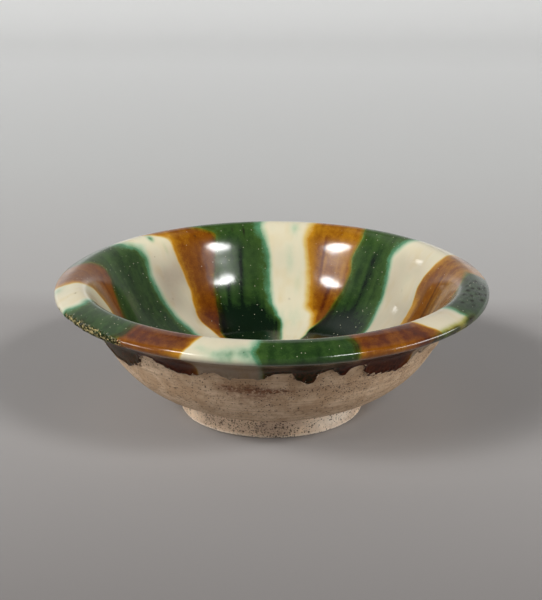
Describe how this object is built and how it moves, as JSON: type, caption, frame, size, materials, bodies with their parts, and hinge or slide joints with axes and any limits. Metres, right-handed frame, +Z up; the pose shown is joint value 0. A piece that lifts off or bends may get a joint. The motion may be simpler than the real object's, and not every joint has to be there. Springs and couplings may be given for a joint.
{
  "type": "sancai bowl",
  "caption": "Low earthenware bowl with an everted lip and a short solid foot, streaked inside and over the lip with cream, amber and green lead glazes.",
  "frame": {"origin": "middle of the foot's resting face, on the surface the bowl stands on", "axes": "+Z up along the bowl's axis of revolution, -Y towards the side that the picture shows in front, +X to the picture's right"},
  "size_m": [0.1698, 0.1697, 0.0546],
  "materials": {
    "body_clay": "fired buff clay, matt",
    "foot_clay": "fired pinkish clay, coarse and pitted, matt",
    "luting_slip": "fired slip, matt",
    "slip_coat": "fired slip with faint turning lines, dull",
    "cream_glaze": "clear lead glaze over white slip, glossy",
    "amber_glaze": "iron lead glaze, glossy",
    "green_glaze": "copper lead glaze, glossy",
    "pool_glaze": "pooled copper and iron lead glaze, glossy"
  },
  "bodies": {
    "root": {"bowl_body": "body_clay", "foot_disc": "foot_clay", "luting_slip": "luting_slip", "slip_coat": "slip_coat", "glaze_pool": "pool_glaze", "glaze_cream_1": "cream_glaze", "glaze_cream_2": "cream_glaze", "glaze_cream_3": "cream_glaze", "glaze_cream_4": "cream_glaze", "glaze_cream_5": "cream_glaze", "glaze_cream_6": "cream_glaze", "glaze_amber_1": "amber_glaze", "glaze_amber_2": "amber_glaze", "glaze_amber_3": "amber_glaze", "glaze_amber_4": "amber_glaze", "glaze_amber_5": "amber_glaze", "glaze_amber_6": "amber_glaze", "glaze_green_1": "green_glaze", "glaze_green_2": "green_glaze", "glaze_green_3": "green_glaze", "glaze_green_4": "green_glaze", "glaze_green_5": "green_glaze", "glaze_green_6": "green_glaze"}
  },
  "joints": []
}
